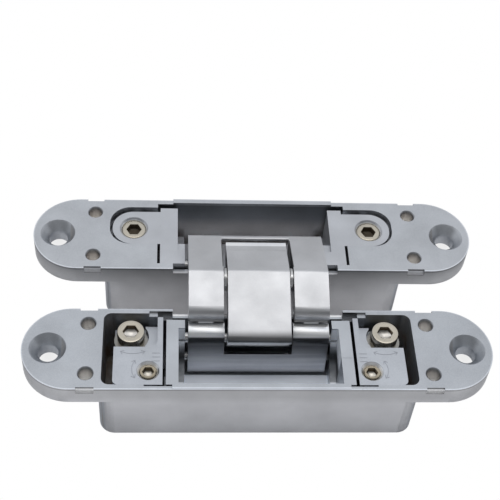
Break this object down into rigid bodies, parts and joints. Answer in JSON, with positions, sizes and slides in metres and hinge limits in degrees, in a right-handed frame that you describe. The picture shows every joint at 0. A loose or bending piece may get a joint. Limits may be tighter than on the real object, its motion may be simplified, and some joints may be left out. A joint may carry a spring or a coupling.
{
  "type": "concealed hinge",
  "caption": "Concealed door hinge with two mortised bodies, crossing arms on pins and hooked guide links, adjustable in three directions, opening to 180 degrees.",
  "frame": {"origin": "under the middle of the open hinge, at the height of both body bottoms", "axes": "+X along the hinge, +Y from the body with the large screws to the other one, +Z out of the plate faces"},
  "size_m": [0.12, 0.0628, 0.0283],
  "materials": {
    "front_casting": "satin chromed zinc alloy",
    "rear_casting": "satin chromed zinc alloy",
    "cradle_metal": "satin chromed zinc alloy",
    "block_metal": "satin chromed zinc alloy",
    "arm_metal": "satin chromed zinc alloy, lighter",
    "link_metal": "satin chromed, greased",
    "screw_nickel": "nickel-plated steel",
    "pin_steel": "ground steel",
    "bush_bronze": "sintered bronze"
  },
  "bodies": {
    "front_body": {"front_housing": "front_casting"},
    "front_carriage": {"front_block_left": "block_metal", "front_block_right": "block_metal", "side_adjust_washer_left": "screw_nickel", "side_adjust_washer_right": "screw_nickel"},
    "side_screw_left": {"side_adjust_screw_left": "screw_nickel"},
    "side_screw_right": {"side_adjust_screw_right": "screw_nickel"},
    "cam_left": {"depth_cam_left": "screw_nickel"},
    "cam_right": {"depth_cam_right": "screw_nickel"},
    "front_carrier": {"front_cradle": "cradle_metal", "front_arm_pin": "pin_steel", "front_link_pin": "pin_steel"},
    "front_arm_body": {"front_arm": "arm_metal", "front_arm_end_pin": "pin_steel", "centre_bush": "bush_bronze"},
    "rear_arm_body": {"rear_arm": "arm_metal", "centre_pin": "pin_steel", "centre_washer_left": "pin_steel", "centre_washer_right": "pin_steel", "rear_arm_end_pin_left": "pin_steel", "rear_arm_end_pin_right": "pin_steel"},
    "front_link_body": {"front_guide_link": "link_metal"},
    "rear_link_body": {"rear_guide_link": "link_metal"},
    "rear_carrier": {"rear_cradle": "cradle_metal", "rear_arm_pin_left": "pin_steel", "rear_arm_pin_right": "pin_steel", "rear_link_pin": "pin_steel"},
    "clamp_left": {"rear_clamp_screw_left": "screw_nickel"},
    "clamp_right": {"rear_clamp_screw_right": "screw_nickel"},
    "rear_body": {"rear_housing": "rear_casting"}
  },
  "joints": [
    {"name": "side_adjust", "type": "slide", "parent": "front_body", "child": "front_carriage", "axis": [0, 0, 1], "range_m": [-0.0005, 0.0015]},
    {"name": "side_screw_turn_left", "type": "hinge", "parent": "front_carriage", "child": "side_screw_left", "pos_m": [-0.03284, -0.01345, 0.018], "axis": [0, 0, 1], "range_deg": [-258, 772]},
    {"name": "side_screw_turn_right", "type": "hinge", "parent": "front_carriage", "child": "side_screw_right", "pos_m": [0.03284, -0.01345, 0.018], "axis": [0, 0, 1], "range_deg": [-258, 772]},
    {"name": "cam_turn_left", "type": "hinge", "parent": "front_carriage", "child": "cam_left", "pos_m": [-0.0282, -0.02555, 0.018], "axis": [0, 0, 1], "range_deg": [-60.1, 0]},
    {"name": "cam_turn_right", "type": "hinge", "parent": "front_carriage", "child": "cam_right", "pos_m": [0.0282, -0.02555, 0.018], "axis": [0, 0, 1], "range_deg": [0, 60.1]},
    {"name": "depth_adjust", "type": "slide", "parent": "front_carriage", "child": "front_carrier", "axis": [0, 1, 0], "range_m": [0, 0.001]},
    {"name": "fold", "type": "hinge", "parent": "front_carrier", "child": "front_arm_body", "pos_m": [0, -0.01205, 0.0155], "axis": [1, 0, 0], "range_deg": [0, 113.33]},
    {"name": "arms_cross", "type": "hinge", "parent": "front_arm_body", "child": "rear_arm_body", "pos_m": [0, 0, 0.0245], "axis": [1, 0, 0], "range_deg": [-47, 0]},
    {"name": "rear_arm_turn", "type": "hinge", "parent": "rear_arm_body", "child": "rear_carrier", "pos_m": [0, 0.01205, 0.0155], "axis": [1, 0, 0], "range_deg": [0, 113.53]},
    {"name": "front_link_turn", "type": "hinge", "parent": "rear_arm_body", "child": "front_link_body", "pos_m": [0, -0.00825, 0.0223], "axis": [1, 0, 0], "range_deg": [0, 16.3]},
    {"name": "rear_link_turn", "type": "hinge", "parent": "front_arm_body", "child": "rear_link_body", "pos_m": [0, 0.00825, 0.0223], "axis": [1, 0, 0], "range_deg": [-16.3, 0]},
    {"name": "clamp_turn_left", "type": "hinge", "parent": "rear_carrier", "child": "clamp_left", "pos_m": [-0.03294, 0.02115, 0.018], "axis": [0, 0, 1], "range_deg": [-90, 180]},
    {"name": "clamp_turn_right", "type": "hinge", "parent": "rear_carrier", "child": "clamp_right", "pos_m": [0.03204, 0.02115, 0.018], "axis": [0, 0, 1], "range_deg": [-90, 180]},
    {"name": "height_adjust", "type": "slide", "parent": "rear_carrier", "child": "rear_body", "axis": [1, 0, 0], "range_m": [-0.0006, 0.0006]}
  ],
  "couplings": [
    {"joint": "arms_cross", "follows": "fold", "ratio": -0.41172},
    {"joint": "rear_arm_turn", "follows": "fold", "ratio": 1},
    {"joint": "front_link_turn", "follows": "fold", "ratio": 0.14172},
    {"joint": "rear_link_turn", "follows": "fold", "ratio": -0.14172},
    {"joint": "side_screw_turn_left", "follows": "side_adjust", "rad_per_m": 8976},
    {"joint": "side_screw_turn_right", "follows": "side_adjust", "rad_per_m": 8976},
    {"joint": "cam_turn_left", "follows": "depth_adjust", "rad_per_m": -1047.2},
    {"joint": "cam_turn_right", "follows": "depth_adjust", "rad_per_m": 1047.2}
  ]
}
